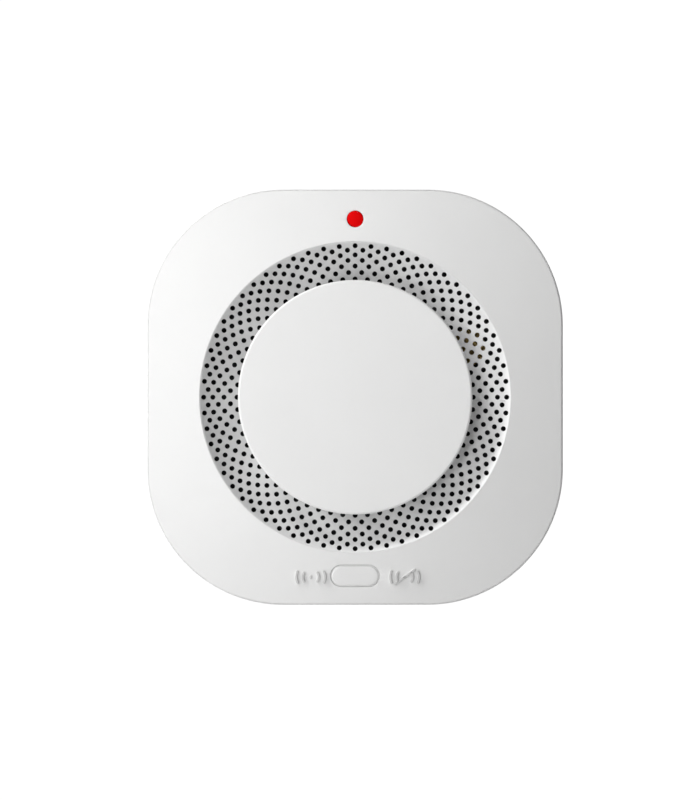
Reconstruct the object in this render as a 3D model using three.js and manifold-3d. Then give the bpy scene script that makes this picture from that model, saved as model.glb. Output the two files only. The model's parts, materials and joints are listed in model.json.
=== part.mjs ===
// A compact battery smoke detector on a twist-off wall bracket.
// Each piece is drawn facing the viewer: x to the right, y up, z out from the wall.
// The outer group then turns the set upright, so that z up is up the wall and the front faces -Y.
// All sizes are in millimetres. The origin is the middle of the bracket's wall face.

import * as THREE from "three";
import { mergeVertices } from "three/addons/utils/BufferGeometryUtils.js";
import Module from "manifold-3d";

const wasm = await Module();
wasm.setup();

// ---- driving dimensions ----

const GAP = 0.3; // clearance between neighbouring pieces
const PAST = 1; // how far a cutter runs past the face it cuts
const BITE = 0.2; // how far a joined solid is sunk into its neighbour
const ROUND = 40; // sides of the large round pieces
const CORNER = 7; // flats round each corner of the body

const BODY_HALF = 50; // half the width and height of the square body
const BODY_CORNER = 32.6; // radius of its corners
const WALL = 2; // moulding wall
const BACK_Z = 3.9; // rear face of the body
const BACK_CHAMFER = 1.2;
const SEAM_Z = 20; // where the two shells meet
const SEAM_LIP = 0.9; // thickness of the rear shell's lip, which closes the seam from inside
const SEAM_OVERLAP = 1.6; // how far the lip reaches to either side of the seam

const RIM_Z = 33.4; // height of the face round the intake opening
const OPENING_R = 37.5; // intake opening in the face
const FACE_SLOPE = 0.17; // fall of the face per mm outwards from the opening
const FACE_CURVE = 0.0016; // and its growth per mm squared

const BOWL_R = 17; // radius of the intake ring's concave section
const BOWL_CENTRE_R = 22.8;
const BOWL_CENTRE_Z = 42.3;
const RING_WALL = 1.6;
const RING_INNER_R = 26.1;
const RING_FLANGE_R = 38.4;

const CAP_R = 28.2;
const CAP_TOP_Z = 36;
const CAP_CROWN = 0.7; // fall of the cap from its middle to its edge
const CAP_WALL = 2;
const SKIRT_R = 25.8;
const SKIRT_WALL = 1.4;
const SKIRT_WINDOWS = 10;

const BRACKET_R = 41;
const PLATE_Z = [1.6, 3.4]; // back and front of the bracket's plate
const BRACKET_RIM = 1.8; // thickness of the rim round the plate
const BRACKET_BOSS_R = 9;
const BRACKET_RIB = { width: 1.6, from: 0.6 };
const PAD_MARGIN = 3.2; // how much wider a screw pad is than its slot
const STUD_R = 34; // radius of the circle of bayonet studs
const STUD_ANGLES = [0, 120, 240];
const TWIST = 15; // degrees from locked to released
const STUD_NECK_R = 1.8;
const STUD_HEAD_R = 3.6;
const SCREW_SLOT_Y = 25; // wall screw slots above and below the centre
const SCREW_SLOT = { width: 4.6, length: 9.6 };

const BUTTON_Y = -43;
const BUTTON = { width: 11.3, height: 4.7 };
const BUTTON_RIM = { width: 14.1, height: 6.4 }; // flange that keeps the button in
const BUTTON_TRAVEL = 0.8;
const BUTTON_PROUD = 0.1;
const STEM_R = 1.8;
const GUIDE_WALL = 1.1; // wall of the guides behind the cover, and where they end
const GUIDE_BACK = 25;
const FLANGE_WALL = 1.2; // thickness of the flanges that keep the button and the light pipe in
const LENS_Y = 42.9;
const LENS_R = 1.95;
const LENS_FLANGE_R = LENS_R + 0.8;

const BOARD_Z = [18.6, 20.2];
const BOARD_HALF = 46.4;
const CASE_SCREW = 34; // case screws at plus and minus this, both ways
const CASE_BOSS = { r: 5, headBore: 3.3, headSeat: 14, bore: 1.8 };
const COVER_POST = { r: 3.4, pilot: 1.7, pilotEnd: 27.5 };
const BOARD_BOSS = { r: 2.8, pilot: 1.2 };
const CASE_SCREWS = [
  [CASE_SCREW, CASE_SCREW],
  [CASE_SCREW, -CASE_SCREW],
  [-CASE_SCREW, CASE_SCREW],
  [-CASE_SCREW, -CASE_SCREW],
];
const BOARD_SCREWS = [
  [18, 40],
  [18, -40],
];

const CHAMBER_R = 23.5;
const CHAMBER_Z = [20.6, 31.4];
const MESH_R = 22.5;
const LIGHT_TRAP = { r: 37.2, back: 21.2, front: 22.2 }; // black flange behind the intake holes

const SIREN = { x: 27, y: 12, r: 14, back: 7, front: 17.9, wall: 1.2 };
const SOUND_PORT_R = 5.5;

const CELL_R = 5.25;
const CELL_LENGTH = 43.3;
const CELL_X = [-35.9, -24.7];
const CELL_Z = 11.5;
const LEADS = { black: [-30.6, -26.6], red: [-24.7, -22.4] }; // x at the cells and at the board
const LEAD_Y = -31; // where they pass through the board
const PLATE_WALL = 0.4; // thickness of the contact plates
const BAY = { left: -42, right: -18.6, end: 26, wall: 1.2, roof: 17 };

const DOOR = { inner: -16, half: 25.7, top: 5.7, lipHalf: 11, lipTop: 14, tongue: 1.5 };
const DOOR_GROOVE = [4.6, 6]; // back and front of the grooves that carry its tongues
const GRIP_RIBS = { y: [5.9, -4.6], width: 1.3, proud: 0.4, back: 6 };
const RAIL = { width: 3.5, depth: 1.9 }; // beyond the door's edge, and in front of its groove

// ---- materials ----

function material(color, roughness, metalness = 0) {
  return new THREE.MeshStandardMaterial({ color, roughness, metalness });
}

const WHITE = 0xf3f3f2;

// ---- solids from three.js geometry ----

// The closed mesh of a geometry as a solid that can be joined and cut.
function solid(geometry) {
  const bare = new THREE.BufferGeometry();
  bare.setAttribute("position", geometry.getAttribute("position"));
  bare.setIndex(geometry.getIndex());
  const merged = mergeVertices(bare, 1e-4);
  const index = merged.getIndex().array;
  const triVerts = [];
  for (let i = 0; i < index.length; i += 3) {
    const [a, b, c] = index.slice(i, i + 3);
    if (a !== b && b !== c && c !== a) triVerts.push(a, b, c);
  }
  return new wasm.Manifold(
    new wasm.Mesh({
      numProp: 3,
      vertProperties: merged.getAttribute("position").array,
      triVerts: new Uint32Array(triVerts),
    }),
  );
}

function join(...solids) {
  return solids.reduce((all, one) => all.add(one));
}

function cut(body, ...cutters) {
  return cutters.reduce((left, cutter) => left.subtract(cutter), body);
}

function geometryOf(manifold) {
  const mesh = manifold.getMesh();
  const geometry = new THREE.BufferGeometry();
  geometry.setAttribute("position", new THREE.BufferAttribute(mesh.vertProperties, 3));
  geometry.setIndex(new THREE.BufferAttribute(mesh.triVerts, 1));
  geometry.computeVertexNormals();
  return geometry;
}

// An outline pushed from z0 to z1.
function prism(shape, z0, z1, curveSegments = 8) {
  const options = { depth: z1 - z0, bevelEnabled: false, curveSegments };
  return solid(new THREE.ExtrudeGeometry(shape, options).translate(0, 0, z0));
}

function disc(x, y, radius, z0, z1, sides = 24) {
  const geometry = new THREE.CylinderGeometry(radius, radius, z1 - z0, sides);
  return solid(geometry.rotateX(Math.PI / 2).translate(x, y, (z0 + z1) / 2));
}

function block(x0, x1, y0, y1, z0, z1) {
  const geometry = new THREE.BoxGeometry(x1 - x0, y1 - y0, z1 - z0);
  return solid(geometry.translate((x0 + x1) / 2, (y0 + y1) / 2, (z0 + z1) / 2));
}

// A section of [radius, z] points turned about the z axis, listed anticlockwise.
// A section that leaves the axis is closed on its first point.
function turned(section, sides = 24, x = 0, y = 0) {
  const onAxis = section[0][0] === 0 && section.at(-1)[0] === 0;
  const points = (onAxis ? section : [...section, section[0]]).map(([r, z]) => new THREE.Vector2(r, z));
  const geometry = new THREE.LatheGeometry(points, sides);
  return solid(geometry.rotateX(Math.PI / 2).translate(x, y, 0));
}

function roundedSquare(half, radius) {
  const shape = new THREE.Shape();
  const c = half - radius;
  shape.moveTo(half, -c);
  shape.absarc(c, c, radius, 0, Math.PI / 2);
  shape.absarc(-c, c, radius, Math.PI / 2, Math.PI);
  shape.absarc(-c, -c, radius, Math.PI, 1.5 * Math.PI);
  shape.absarc(c, -c, radius, 1.5 * Math.PI, 2 * Math.PI);
  return shape;
}

// The body's outline moved in by a distance.
function bodyShape(inset) {
  return roundedSquare(BODY_HALF - inset, BODY_CORNER - inset);
}

// A slot with round ends, centred on (x, y).
function stadium(x, y, width, height) {
  const r = Math.min(width, height) / 2;
  const across = width / 2 - r;
  const up = height / 2 - r;
  const shape = new THREE.Shape();
  if (across > up) {
    shape.absarc(x + across, y, r, -Math.PI / 2, Math.PI / 2);
    shape.absarc(x - across, y, r, Math.PI / 2, 1.5 * Math.PI);
  } else {
    shape.absarc(x, y + up, r, 0, Math.PI);
    shape.absarc(x, y - up, r, Math.PI, 2 * Math.PI);
  }
  return shape;
}

// A slot that follows a circle about the origin, between two angles in degrees.
function arcSlot(radius, halfWidth, from, to) {
  const [a, b] = [THREE.MathUtils.degToRad(from), THREE.MathUtils.degToRad(to)];
  const shape = new THREE.Shape();
  shape.absarc(0, 0, radius + halfWidth, a, b);
  shape.absarc(radius * Math.cos(b), radius * Math.sin(b), halfWidth, b, b + Math.PI);
  shape.absarc(0, 0, radius - halfWidth, b, a, true);
  shape.absarc(radius * Math.cos(a), radius * Math.sin(a), halfWidth, a + Math.PI, a + 2 * Math.PI);
  return shape;
}

function onCircle(radius, degrees) {
  const angle = THREE.MathUtils.degToRad(degrees);
  return [radius * Math.cos(angle), radius * Math.sin(angle)];
}

// ---- the assembly ----

const detector = new THREE.Group();
detector.rotation.x = Math.PI / 2;

function place(name, shape, finish, x = 0, y = 0, z = 0) {
  const mesh = new THREE.Mesh(geometryOf(shape), finish);
  mesh.name = name;
  mesh.position.set(x, y, z);
  detector.add(mesh);
}

// ---- shared surfaces ----

// Height of the domed face at a distance from the middle.
function faceZ(r) {
  const out = r - OPENING_R;
  return RIM_Z - FACE_SLOPE * out - FACE_CURVE * out * out;
}

const KEY_FLANGE_Z = faceZ(46.6) - WALL - GAP; // under the lowest part of the cover above the button

// Everything under the face, lowered by a depth.
function underFace(depth, sides = ROUND) {
  const top = [62, 56, 49, 43, OPENING_R].map((r) => [r, faceZ(r) - depth]);
  return turned([[0, -PAST], [62, -PAST], ...top, [0, RIM_Z - depth]], sides);
}

function outerBody() {
  const options = {
    depth: 40,
    bevelEnabled: true,
    bevelThickness: BACK_CHAMFER,
    bevelSize: BACK_CHAMFER,
    bevelOffset: -BACK_CHAMFER,
    bevelSegments: 1,
    curveSegments: CORNER,
  };
  const geometry = new THREE.ExtrudeGeometry(roundedSquare(BODY_HALF, BODY_CORNER), options);
  return solid(geometry.translate(0, 0, BACK_Z + BACK_CHAMFER));
}

const body = outerBody();
const wide = BODY_HALF + PAST;

// ---- wall bracket ----

function mountingBracket() {
  const [back, front] = PLATE_Z;
  const slots = [
    [SCREW_SLOT_Y, SCREW_SLOT.length, SCREW_SLOT.width],
    [-SCREW_SLOT_Y, SCREW_SLOT.width, SCREW_SLOT.length],
  ];
  const pads = slots.map(([y, w, h]) =>
    prism(stadium(0, y, w + PAD_MARGIN, h + PAD_MARGIN), 0, back + BITE, 5),
  );
  const holes = slots.map(([y, w, h]) => prism(stadium(0, y, w, h), -PAST, front + PAST, 5));
  const keyholes = STUD_ANGLES.flatMap((angle) => [
    prism(arcSlot(STUD_R, STUD_NECK_R + GAP, angle, angle + TWIST), 0, front + PAST, 4),
    disc(...onCircle(STUD_R, angle + TWIST), STUD_HEAD_R + 0.4, 0, front + PAST, 16),
  ]);
  const rimInner = BRACKET_R - BRACKET_RIM;
  const rimSection = [
    [rimInner, 0],
    [BRACKET_R, 0],
    [BRACKET_R, front],
    [rimInner, front],
  ];
  const rim = turned(rimSection, ROUND);
  const plate = disc(0, 0, BRACKET_R - 0.5, back, front, ROUND);
  const boss = disc(0, 0, BRACKET_BOSS_R, 0, back + BITE);
  const ribs = [-45, 45].map((angle) => {
    const top = back + BITE;
    const bar = new THREE.BoxGeometry(2 * (BRACKET_R - 1), BRACKET_RIB.width, top - BRACKET_RIB.from);
    bar.rotateZ(THREE.MathUtils.degToRad(angle)).translate(0, 0, (top + BRACKET_RIB.from) / 2);
    return solid(bar);
  });
  return cut(join(plate, rim, boss, ...ribs, ...pads), ...keyholes, ...holes);
}

place("mounting_bracket", mountingBracket(), material(WHITE, 0.6));

// ---- battery door ----

function batteryDoor() {
  const { inner, half, top, lipHalf, lipTop, tongue } = DOOR;
  const plate = block(-wide, inner, -half, half, 0, top);
  const tongues = block(-wide, inner, -half - tongue, half + tongue, DOOR_GROOVE[0] + GAP, top);
  const lip = block(-wide, -BODY_HALF + WALL - BITE, -lipHalf, lipHalf, BACK_Z, lipTop);
  const grip = GRIP_RIBS.width / 2;
  const outside = -BODY_HALF - GRIP_RIBS.proud;
  const ribs = GRIP_RIBS.y.map((y) =>
    block(outside, -BODY_HALF + 1, y - grip, y + grip, GRIP_RIBS.back, lipTop - 1),
  );
  return join(join(plate, tongues, lip).intersect(body), ...ribs);
}

place("battery_door", batteryDoor(), material(WHITE, 0.5));

// ---- rear case ----

function rearCase() {
  const { left, right, end, wall, roof } = BAY;
  const floorZ = BACK_Z + WALL;
  const seam = SEAM_Z - GAP / 2;
  const shell = body.intersect(block(-wide, wide, -wide, wide, 0, seam));
  const hollow = prism(bodyShape(WALL), floorZ, SEAM_Z + PAST, CORNER);

  const railTop = DOOR_GROOVE[1] + RAIL.depth;
  const railInner = DOOR.half + GAP;
  const railOuter = railInner + RAIL.width;
  const rails = [
    [railInner, railOuter],
    [-railOuter, -railInner],
  ].map(([y0, y1]) => block(-BODY_HALF, DOOR.inner + 3, y0, y1, floorZ - BITE, railTop).intersect(body));
  const lipHalf = BODY_HALF - WALL - GAP;
  const lipRoot = prism(bodyShape(WALL - BITE), seam - SEAM_OVERLAP, seam, CORNER);
  const lipRim = prism(bodyShape(BODY_HALF - lipHalf), seam - BITE, seam + SEAM_OVERLAP, CORNER);
  const lipWay = prism(bodyShape(BODY_HALF - lipHalf + SEAM_LIP), 0, CAP_TOP_Z, CORNER);
  const lip = cut(join(lipRoot, lipRim), lipWay);
  const bayFloor = DOOR.top + GAP;
  const bay = cut(
    block(left - wall, right + wall, -end - wall, end + wall, bayFloor, roof + wall),
    block(left, right, -end, end, 0, roof),
  );

  const bossFoot = floorZ - BITE;
  const bossTop = BOARD_Z[0] - GAP;
  const bosses = [
    ...CASE_SCREWS.map(([x, y]) => disc(x, y, CASE_BOSS.r, bossFoot, bossTop, 16)),
    ...BOARD_SCREWS.map(([x, y]) => disc(x, y, BOARD_BOSS.r, bossFoot, bossTop, 12)),
    disc(SIREN.x, SIREN.y, SIREN.r / 2, bossFoot, SIREN.back - GAP),
  ];
  const bores = [
    ...CASE_SCREWS.map(([x, y]) => disc(x, y, CASE_BOSS.headBore, 0, CASE_BOSS.headSeat, 16)),
    ...CASE_SCREWS.map(([x, y]) => disc(x, y, CASE_BOSS.bore, 0, SEAM_Z, 12)),
    ...BOARD_SCREWS.map(([x, y]) => disc(x, y, BOARD_BOSS.pilot, floorZ + WALL, SEAM_Z, 10)),
  ];
  const studs = STUD_ANGLES.flatMap((angle) => {
    const [x, y] = onCircle(STUD_R, angle);
    return [disc(x, y, STUD_NECK_R, 1, BACK_Z + BITE, 12), disc(x, y, STUD_HEAD_R, 0.25, 1.3, 16)];
  });

  const doorWay = block(-wide, DOOR.inner + GAP, -DOOR.half - GAP, DOOR.half + GAP, 0, bayFloor);
  const grooveHalf = DOOR.half + DOOR.tongue + GAP;
  const grooves = block(-wide, DOOR.inner + GAP, -grooveHalf, grooveHalf, ...DOOR_GROOVE);
  const notchHalf = DOOR.lipHalf + GAP;
  const notch = block(-wide, -BODY_HALF + WALL + PAST, -notchHalf, notchHalf, 0, DOOR.lipTop + GAP);
  const added = [lip, ...rails, bay, ...bosses, ...studs];
  return cut(join(cut(shell, hollow), ...added), doorWay, grooves, notch, ...bores);
}

place("rear_case", rearCase(), material(WHITE, 0.5));

// ---- front cover ----

function frontCover() {
  const seam = SEAM_Z + GAP / 2;
  const skin = body.intersect(underFace(0)).intersect(block(-wide, wide, -wide, wide, seam, CAP_TOP_Z));
  const hollow = prism(bodyShape(WALL), seam - PAST, CAP_TOP_Z, CORNER);
  const shell = cut(skin, hollow.intersect(underFace(WALL)));

  const posts = CASE_SCREWS.map(([x, y]) => disc(x, y, COVER_POST.r, BOARD_Z[1] + GAP, RIM_Z, 14));
  const pilots = CASE_SCREWS.map(([x, y]) => disc(x, y, COVER_POST.pilot, 0, COVER_POST.pilotEnd, 12));
  const { width, height } = BUTTON_RIM;
  const around = 2 * GUIDE_WALL;
  const gaps = 2 * GAP;
  const guide = prism(stadium(0, BUTTON_Y, width + around, height + around), GUIDE_BACK, RIM_Z, 6);
  const guideWay = prism(stadium(0, BUTTON_Y, width + gaps, height + gaps), SEAM_Z, KEY_FLANGE_Z + GAP, 6);
  const buttonHole = prism(
    stadium(0, BUTTON_Y, BUTTON.width + gaps, BUTTON.height + gaps),
    SEAM_Z,
    CAP_TOP_Z,
    8,
  );
  const sleeve = disc(0, LENS_Y, LENS_FLANGE_R + GUIDE_WALL, GUIDE_BACK, RIM_Z, 16);
  const sleeveBore = disc(0, LENS_Y, LENS_FLANGE_R + GAP, SEAM_Z, faceZ(LENS_Y) - WALL, 16);
  const lensHole = disc(0, LENS_Y, LENS_R + GAP, SEAM_Z, CAP_TOP_Z, 20);
  const opening = disc(0, 0, OPENING_R, SEAM_Z, CAP_TOP_Z, ROUND);
  const added = join(guide, sleeve, ...posts).intersect(underFace(WALL / 2)).intersect(body);
  const holes = [guideWay, buttonHole, sleeveBore, lensHole, opening, ...pilots];
  return cut(join(shell, added), ...holes);
}

place("front_cover", frontCover(), material(WHITE, 0.45));

// ---- intake ring and centre cap ----

// A point of the bowl's section, on its front face or a wall's thickness behind it.
function bowlPoint(r, behind = 0) {
  const radius = BOWL_R + behind;
  return [r, BOWL_CENTRE_Z - Math.sqrt(radius * radius - (r - BOWL_CENTRE_R) ** 2)];
}

function grilleRing() {
  const rim = OPENING_R - GAP;
  const flangeZ = faceZ(RING_FLANGE_R) - WALL - GAP;
  const frontRadii = [36, 34.2, 32, 29.4, RING_INNER_R];
  const backRadii = [RING_INNER_R, 30, 34, 36.2];
  return turned(
    [
      ...backRadii.map((r) => bowlPoint(r, RING_WALL)),
      [RING_FLANGE_R, flangeZ - RING_WALL],
      [RING_FLANGE_R, flangeZ],
      [rim, flangeZ],
      [rim, RIM_Z],
      bowlPoint(rim).map((value, i) => (i === 0 ? rim - 0.4 : Math.min(value, RIM_Z))),
      ...frontRadii.map((r) => bowlPoint(r)),
    ],
    ROUND,
  );
}

place("grille_ring", grilleRing(), material(0xe6e6e6, 0.6));

function centreCap() {
  const edgeZ = CAP_TOP_Z - CAP_CROWN;
  const underZ = edgeZ - CAP_WALL;
  const footZ = bowlPoint(RING_INNER_R, RING_WALL)[1] - GAP;
  const inner = SKIRT_R - SKIRT_WALL;
  const crown = [CAP_R, 20, 10].map((r) => [r, CAP_TOP_Z - CAP_CROWN * (r / CAP_R) ** 2]);
  const shell = turned(
    [
      [0, underZ],
      [inner, underZ],
      [inner, footZ - 1],
      [RING_INNER_R + 0.7, footZ - 1],
      [RING_INNER_R + 0.7, footZ],
      [SKIRT_R, footZ],
      [SKIRT_R, underZ],
      [CAP_R - 0.5, underZ],
      [CAP_R, underZ + 0.5],
      ...crown,
      [0, CAP_TOP_Z],
    ],
    ROUND,
  );
  const windowZ = [footZ + 3.6, underZ - 1.2];
  const windows = Array.from({ length: SKIRT_WINDOWS / 2 }, (_, i) => {
    const bar = new THREE.BoxGeometry(2 * CAP_R, 9, windowZ[1] - windowZ[0]);
    bar.rotateZ((i * 2 * Math.PI) / SKIRT_WINDOWS).translate(0, 0, (windowZ[0] + windowZ[1]) / 2);
    return solid(bar);
  });
  return cut(shell, ...windows);
}

place("centre_cap", centreCap(), material(WHITE, 0.45));

// ---- indicator ----

const lensBack = 24.2;
const lensTop = faceZ(LENS_Y) + 0.3;
const lensFlange = faceZ(LENS_Y + LENS_R) - WALL - GAP;
const lensSection = [
  [0, lensBack],
  [LENS_R, lensBack],
  [LENS_R, lensFlange - FLANGE_WALL],
  [LENS_FLANGE_R, lensFlange - FLANGE_WALL],
  [LENS_FLANGE_R, lensFlange],
  [LENS_R, lensFlange],
  [LENS_R, lensTop - 0.4],
  [LENS_R * 0.75, lensTop - 0.15],
  [0, lensTop],
];
place("indicator_lens", turned(lensSection, 20), material(0xe10407, 0.3), 0, LENS_Y, 0);

const ledSection = [
  [0, BOARD_Z[1] + GAP],
  [1.9, BOARD_Z[1] + GAP],
  [1.9, 21.4],
  [1.5, 21.4],
  [1.5, 22.8],
  [0.9, 23.6],
  [0, 23.8],
];
place("status_led", turned(ledSection, 16), material(0xb01010, 0.3), 0, LENS_Y, 0);

// ---- test button and its switch ----

const stemZ = 27.6;

function testButton() {
  const rimBack = KEY_FLANGE_Z - FLANGE_WALL;
  const key = prism(stadium(0, BUTTON_Y, BUTTON.width, BUTTON.height), rimBack, CAP_TOP_Z, 8);
  const rim = prism(stadium(0, BUTTON_Y, BUTTON_RIM.width, BUTTON_RIM.height), rimBack, KEY_FLANGE_Z, 6);
  const stem = disc(0, BUTTON_Y, STEM_R, stemZ, rimBack + BITE, 14);
  return join(key.intersect(underFace(-BUTTON_PROUD)), rim, stem);
}

place("test_button", testButton(), material(WHITE, 0.4));

const actuatorFoot = 23.4;
const switchTop = 24.6;
const switchBore = disc(0, BUTTON_Y, 1.9, actuatorFoot - BUTTON_TRAVEL - GAP, 40, 14);
const switchBody = block(-3, 3, BUTTON_Y - 3, BUTTON_Y + 3, BOARD_Z[1] + GAP, switchTop);
place("tact_switch", cut(switchBody, switchBore), material(0x202020, 0.5));
place("switch_actuator", disc(0, BUTTON_Y, 1.6, actuatorFoot, stemZ - 0.1, 14), material(0x303030, 0.5));

// ---- main board and what is soldered to it ----

function mainBoard() {
  const [back, front] = BOARD_Z;
  const drilled = (points, radius, sides) =>
    points.map(([x, y]) => disc(x, y, radius, back - PAST, front + PAST, sides));
  const holes = [
    ...drilled(CASE_SCREWS, 2, 12),
    ...drilled(BOARD_SCREWS, 1.4, 10),
    ...drilled(Object.values(LEADS).map(([, x]) => [x, LEAD_Y]), 1.1, 8),
    ...drilled([[SIREN.x, SIREN.y]], SOUND_PORT_R, 20),
  ];
  return cut(prism(bodyShape(BODY_HALF - BOARD_HALF), back, front, 6), ...holes);
}

place("main_board", mainBoard(), material(0x1d5a34, 0.5));

const onBoard = BOARD_Z[1] + GAP;

// A component can of a radius and height, with its top edge bevelled.
function can(radius, height, bevel) {
  const top = onBoard + height;
  return turned(
    [
      [0, onBoard],
      [radius, onBoard],
      [radius, top - bevel],
      [radius - bevel, top],
      [0, top],
    ],
    18,
  );
}

place("microcontroller", block(-45.5, -39.5, -3.5, 3.5, onBoard, onBoard + 1.4), material(0x1a1a1c, 0.4));
place("siren_coil", can(4, 5.9, 0.8), material(0x262626, 0.5), 42, -12);
place("storage_capacitor", can(3.2, 7, 0.5), material(0x30404e, 0.4, 0.3), 42, 3);

// ---- smoke chamber ----

const OPTICS = { radius: 10.5, z: 25.4, angles: [200, 335], bore: 1.8, lamp: 1.5 };

function opticsAt(index, geometry) {
  const angle = THREE.MathUtils.degToRad(OPTICS.angles[index]);
  const [x, y] = [OPTICS.radius * Math.cos(angle), OPTICS.radius * Math.sin(angle)];
  return solid(geometry.rotateZ(angle + Math.PI / 2).translate(x, y, OPTICS.z));
}

// The dish under the chamber, with the flange that keeps light out of the case.
function chamberBase() {
  const [floor] = CHAMBER_Z;
  const dish = turned(
    [
      [0, floor],
      [CHAMBER_R, floor],
      [CHAMBER_R, LIGHT_TRAP.back],
      [LIGHT_TRAP.r, LIGHT_TRAP.back],
      [LIGHT_TRAP.r, LIGHT_TRAP.front],
      [CHAMBER_R, LIGHT_TRAP.front],
      [CHAMBER_R, floor + 2.6],
      [MESH_R + GAP, floor + 2.6],
      [MESH_R + GAP, floor + 1.4],
      [0, floor + 1.4],
    ],
    32,
  );
  const soundWay = disc(SIREN.x, SIREN.y, SOUND_PORT_R, LIGHT_TRAP.back - PAST, LIGHT_TRAP.front + PAST, 20);
  const flange = cut(dish, soundWay.subtract(disc(0, 0, CHAMBER_R, 0, CAP_TOP_Z, 32)));
  const holders = [0, 1].map((i) => {
    const foot = floor + 1;
    const height = OPTICS.z + 2.8 - foot;
    return opticsAt(i, new THREE.BoxGeometry(5.6, 6, height).translate(0, 0, foot + height / 2 - OPTICS.z));
  });
  const bores = [0, 1].map((i) => opticsAt(i, new THREE.CylinderGeometry(OPTICS.bore, OPTICS.bore, 20, 14)));
  const reach = join(...bores).intersect(disc(0, 0, 14.6, floor, 40, 24));
  return cut(join(flange, ...holders), reach);
}

function chamberLabyrinth() {
  const top = CHAMBER_Z[1];
  const lid = disc(0, 0, CHAMBER_R, top - 1.2, top, 32);
  const low = CHAMBER_Z[0] + 1.7;
  const vanes = Array.from({ length: 18 }, (_, i) => {
    const angle = (i * 2 * Math.PI) / 18;
    const vane = new THREE.BoxGeometry(6, 1.2, top - 1 - low);
    vane.rotateZ(0.75).translate(18, 0, (top - 1 + low) / 2);
    return solid(vane.rotateZ(angle));
  });
  return join(lid, ...vanes);
}

const meshZ = [CHAMBER_Z[0] + 1.4 + GAP, CHAMBER_Z[1] - 1.2 - GAP];
const meshSection = [
  [MESH_R - 0.3, meshZ[0]],
  [MESH_R, meshZ[0]],
  [MESH_R, meshZ[1]],
  [MESH_R - 0.3, meshZ[1]],
];
const lampLength = 7;

function lamp(index) {
  const dome = OPTICS.lamp;
  const end = lampLength / 2;
  const section = [
    [0, -end],
    [dome, -end],
    [dome, end - 1.5],
    [dome * 0.7, end - 0.4],
    [0, end],
  ];
  const points = section.map(([r, z]) => new THREE.Vector2(r, z));
  return opticsAt(index, new THREE.LatheGeometry(points, 14));
}

place("chamber_base", chamberBase(), material(0x18181a, 0.7));
place("chamber_labyrinth", chamberLabyrinth(), material(0x18181a, 0.7));
place("insect_mesh", turned(meshSection, 32), material(0x8c9094, 0.4, 0.9));
place("infrared_emitter", lamp(0), material(0x39304a, 0.2));
place("photodiode", lamp(1), material(0x2a2a30, 0.2));

// ---- siren ----

const { x: sirenX, y: sirenY, r: sirenR, back: sirenBack, front: sirenFront, wall: sirenWall } = SIREN;
const sirenSection = [
  [0, sirenBack],
  [sirenR, sirenBack],
  [sirenR, sirenFront],
  [SOUND_PORT_R - 1, sirenFront],
  [SOUND_PORT_R - 1, sirenFront - sirenWall],
  [sirenR - sirenWall, sirenFront - sirenWall],
  [sirenR - sirenWall, sirenBack + sirenWall],
  [0, sirenBack + sirenWall],
];
place("siren_case", turned(sirenSection, 32), material(0x111113, 0.5), sirenX, sirenY);
const piezo = disc(0, 0, sirenR - 1.6, sirenBack + 1.6, sirenBack + 2.2, 28);
place("piezo_disc", piezo, material(0xb9924a, 0.3, 0.9), sirenX, sirenY);

// ---- cells and contacts ----

// A cell lies along y, with its positive end up or down.
function cell(x, positiveUp) {
  const half = CELL_LENGTH / 2;
  const section = [
    [0, -half],
    [CELL_R - 0.4, -half],
    [CELL_R, 0.4 - half],
    [CELL_R, half - 0.4],
    [CELL_R - 0.4, half],
    [1.9, half],
    [1.9, half + 1.2],
    [0, half + 1.2],
  ];
  const geometry = new THREE.LatheGeometry(section.map(([r, y]) => new THREE.Vector2(r, y)), 24);
  geometry.rotateZ(positiveUp ? 0 : Math.PI);
  return solid(geometry.translate(x, positiveUp ? -0.1 : 0.1, CELL_Z));
}

// A conical coil from the contact plate to the flat end of a cell.
class ConeSpring extends THREE.Curve {
  getPoint(t) {
    const turn = 2.5 * 2 * Math.PI * t;
    const r = 3.4 - 1.5 * t;
    return new THREE.Vector3(r * Math.cos(turn), 2.3 * t, r * Math.sin(turn));
  }
}

function contactSpring(x, side) {
  const wire = new THREE.Shape();
  wire.absarc(0, 0, 0.28, 0, 2 * Math.PI);
  const options = { steps: 24, extrudePath: new ConeSpring(), curveSegments: 3, bevelEnabled: false };
  const geometry = new THREE.ExtrudeGeometry(wire, options);
  geometry.rotateZ(side > 0 ? Math.PI : 0);
  return solid(geometry.translate(x, side * (BAY.end - GAP - PLATE_WALL - 0.5), CELL_Z));
}

const plateHalf = 4.4;
const plateEnd = BAY.end - GAP;

function contactPlate(x0, x1, side) {
  const [y0, y1] = side > 0 ? [plateEnd - PLATE_WALL, plateEnd] : [-plateEnd, PLATE_WALL - plateEnd];
  return block(x0 - plateHalf, x1 + plateHalf, y0, y1, CELL_Z - plateHalf, CELL_Z + plateHalf);
}

const springSteel = material(0xc8cbcf, 0.25, 1);
place("battery_1", cell(CELL_X[0], true), material(0x2f6f8f, 0.35, 0.3));
place("battery_2", cell(CELL_X[1], false), material(0x2f6f8f, 0.35, 0.3));
place("contact_bridge", contactPlate(CELL_X[0], CELL_X[1], 1), springSteel);
place("contact_plate_negative", contactPlate(CELL_X[0], CELL_X[0], -1), springSteel);
place("contact_plate_positive", contactPlate(CELL_X[1], CELL_X[1], -1), springSteel);
place("contact_spring_1", contactSpring(CELL_X[0], -1), springSteel);
place("contact_spring_2", contactSpring(CELL_X[1], 1), springSteel);

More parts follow.
